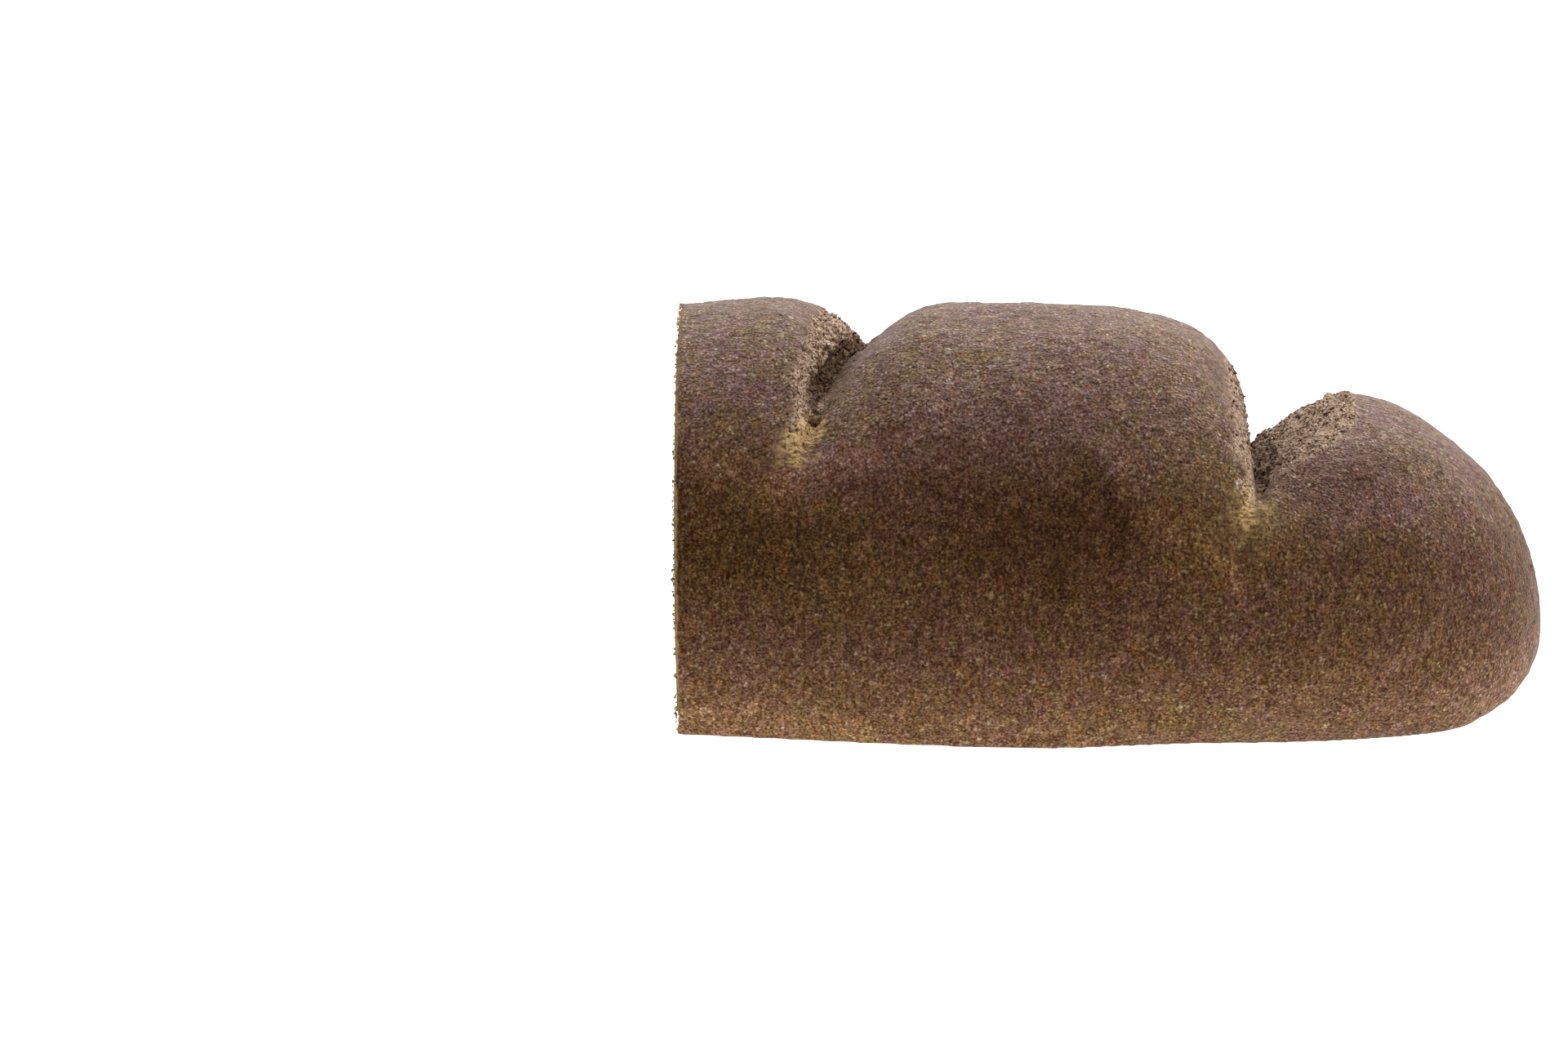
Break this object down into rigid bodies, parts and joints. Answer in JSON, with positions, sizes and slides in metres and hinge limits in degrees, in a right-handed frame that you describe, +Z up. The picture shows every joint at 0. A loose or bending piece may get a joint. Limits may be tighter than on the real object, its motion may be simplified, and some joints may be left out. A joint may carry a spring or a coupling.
{
  "type": "spelt sourdough bread",
  "caption": "Cut remainder of a long hearth loaf: domed brown crust parted by torn slashes, a rounded end, a flat base and a flat cut face showing an open crumb.",
  "frame": {"origin": "bottom centre of the loaf's bounding box, on the surface it stands on", "axes": "+X along the loaf towards its rounded end, with the cut face at -X; +Z up; -Y towards the side that the picture shows"},
  "size_m": [0.185, 0.1056, 0.0813],
  "materials": {
    "crust": "matte, finely wrinkled, speckled with bran",
    "crumb": "matte, open pores"
  },
  "bodies": {
    "root": {"loaf": "crust"}
  },
  "joints": []
}
